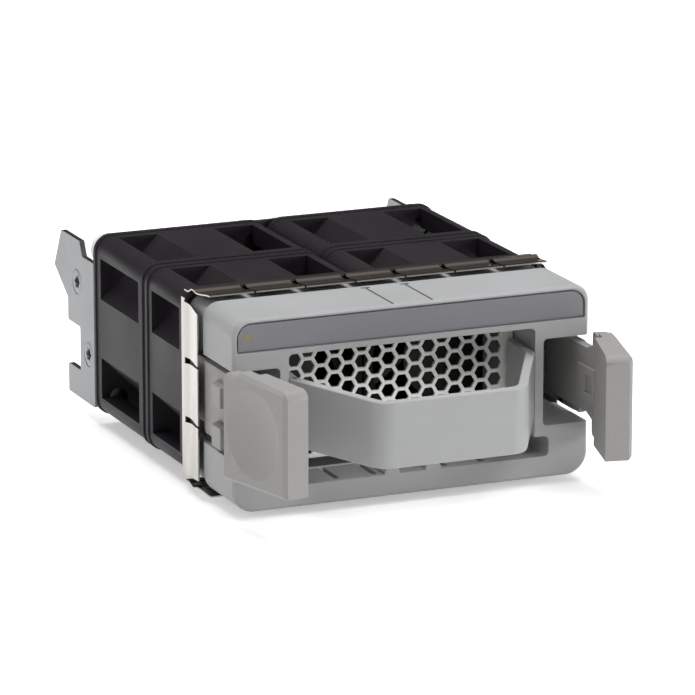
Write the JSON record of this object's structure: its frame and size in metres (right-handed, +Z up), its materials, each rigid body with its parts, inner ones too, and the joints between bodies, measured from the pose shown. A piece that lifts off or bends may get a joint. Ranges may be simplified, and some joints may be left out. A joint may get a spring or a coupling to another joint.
{
  "type": "switch fan tray",
  "caption": "Hot-swap fan tray with paired fans in line, a hexagonal front grille, a bow handle, sprung side latches, shielding finger strips and rear guides.",
  "frame": {"origin": "under the middle of the whole tray, level with the lowest crest of the bottom finger strip", "axes": "+X to the right seen from the front, +Y from the handle to the rear, +Z up"},
  "size_m": [0.0872, 0.1312, 0.0446],
  "materials": {
    "bezel_plastic": "fine moulded grain, warm grey",
    "label_film": "satin grey film, left bare",
    "light_lens": "unlit amber lens",
    "latch_plastic": "fine moulded grain, warm grey",
    "stainless_steel": "bright rolled sheet",
    "fan_plastic": "black, fine spark-eroded texture",
    "rotor_plastic": "black, satin",
    "magnet": "dark sintered ferrite",
    "bright_steel": "ground",
    "stator_core": "lacquered laminations",
    "circuit_board": "green solder mask",
    "zinc_steel": "zinc-plated sheet",
    "rivet_plastic": "off-white nylon",
    "connector_plastic": "black",
    "contact_gold": "gold flash"
  },
  "bodies": {
    "tray": {"bottom_shield_strip": "stainless_steel", "connector_contacts": "contact_gold", "fan_rivet_1": "rivet_plastic", "fan_rivet_2": "rivet_plastic", "fan_rivet_3": "rivet_plastic", "fan_rivet_4": "rivet_plastic", "front_bezel": "bezel_plastic", "hex_grille": "stainless_steel", "label_insert": "label_film", "left_front_fan_bearings": "bright_steel", "left_front_fan_board": "circuit_board", "left_front_fan_frame": "fan_plastic", "left_front_fan_stator": "stator_core", "left_guide_bracket": "zinc_steel", "left_guide_screws": "zinc_steel", "left_latch_pin": "bright_steel", "left_latch_spring": "stainless_steel", "left_rear_fan_bearings": "bright_steel", "left_rear_fan_board": "circuit_board", "left_rear_fan_frame": "fan_plastic", "left_rear_fan_stator": "stator_core", "left_shield_strip": "stainless_steel", "pull_handle": "bezel_plastic", "rear_connector": "connector_plastic", "rear_plate": "zinc_steel", "right_front_fan_bearings": "bright_steel", "right_front_fan_board": "circuit_board", "right_front_fan_frame": "fan_plastic", "right_front_fan_stator": "stator_core", "right_guide_bracket": "zinc_steel", "right_guide_screws": "zinc_steel", "right_latch_pin": "bright_steel", "right_latch_spring": "stainless_steel", "right_rear_fan_bearings": "bright_steel", "right_rear_fan_board": "circuit_board", "right_rear_fan_frame": "fan_plastic", "right_rear_fan_stator": "stator_core", "right_shield_strip": "stainless_steel", "status_light": "light_lens", "top_shield_strip": "stainless_steel"},
    "left_latch": {"left_latch_arm": "latch_plastic", "left_latch_pad": "latch_plastic"},
    "left_front_fan_rotor": {"left_front_fan_impeller": "rotor_plastic", "left_front_fan_magnet": "magnet", "left_front_fan_shaft": "bright_steel"},
    "left_rear_fan_rotor": {"left_rear_fan_impeller": "rotor_plastic", "left_rear_fan_magnet": "magnet", "left_rear_fan_shaft": "bright_steel"},
    "right_latch": {"right_latch_arm": "latch_plastic", "right_latch_pad": "latch_plastic"},
    "right_front_fan_rotor": {"right_front_fan_impeller": "rotor_plastic", "right_front_fan_magnet": "magnet", "right_front_fan_shaft": "bright_steel"},
    "right_rear_fan_rotor": {"right_rear_fan_impeller": "rotor_plastic", "right_rear_fan_magnet": "magnet", "right_rear_fan_shaft": "bright_steel"}
  },
  "joints": [
    {"name": "left_latch_squeeze", "type": "hinge", "parent": "tray", "child": "left_latch", "pos_m": [-0.037, -0.01992, 0.02245], "axis": [0, 0, 1], "range_deg": [0, 8], "stiffness_Nm_per_rad": 0.8, "springref_deg": -2.86, "deforming": ["left_latch_spring"]},
    {"name": "left_front_fan_spin", "type": "hinge", "parent": "tray", "child": "left_front_fan_rotor", "pos_m": [-0.0202, -0.00142, 0.02283], "axis": [0, 1, 0], "continuous": true},
    {"name": "left_rear_fan_spin", "type": "hinge", "parent": "tray", "child": "left_rear_fan_rotor", "pos_m": [-0.0202, 0.02358, 0.02283], "axis": [0, 1, 0], "continuous": true},
    {"name": "right_latch_squeeze", "type": "hinge", "parent": "tray", "child": "right_latch", "pos_m": [0.037, -0.01992, 0.02245], "axis": [0, 0, -1], "range_deg": [0, 8], "stiffness_Nm_per_rad": 0.8, "springref_deg": -2.86, "deforming": ["right_latch_spring"]},
    {"name": "right_front_fan_spin", "type": "hinge", "parent": "tray", "child": "right_front_fan_rotor", "pos_m": [0.0202, -0.00142, 0.02283], "axis": [0, 1, 0], "continuous": true},
    {"name": "right_rear_fan_spin", "type": "hinge", "parent": "tray", "child": "right_rear_fan_rotor", "pos_m": [0.0202, 0.02358, 0.02283], "axis": [0, 1, 0], "continuous": true}
  ]
}
